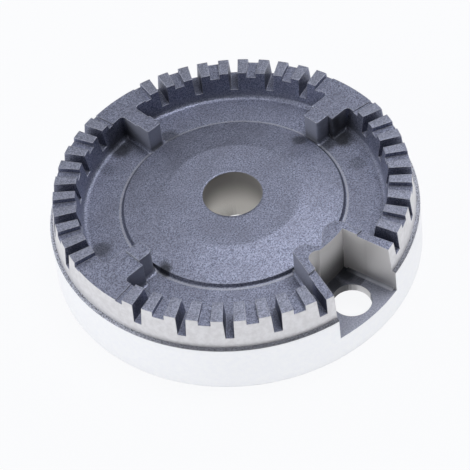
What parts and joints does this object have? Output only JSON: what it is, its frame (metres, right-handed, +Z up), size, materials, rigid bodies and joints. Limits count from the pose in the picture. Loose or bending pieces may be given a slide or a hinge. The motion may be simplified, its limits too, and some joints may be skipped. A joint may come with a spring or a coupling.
{
  "type": "gas burner crown",
  "caption": "Round die-cast aluminium burner crown with a slotted flame ring, a shallow bowl with a central gas hole, inward lugs and an open igniter pocket with a spark hole.",
  "frame": {"origin": "centre of the bottom rim, on the crown's axis, where it rests", "axes": "+Z up along the crown's axis, -Y out through the open side of the igniter pocket, +X completes a right-handed frame; the three plain lugs are at +X, +Y and -X"},
  "size_m": [0.0762, 0.0762, 0.0172],
  "materials": {
    "cast_aluminium": "satin"
  },
  "bodies": {
    "root": {"crown": "cast_aluminium"}
  },
  "joints": []
}
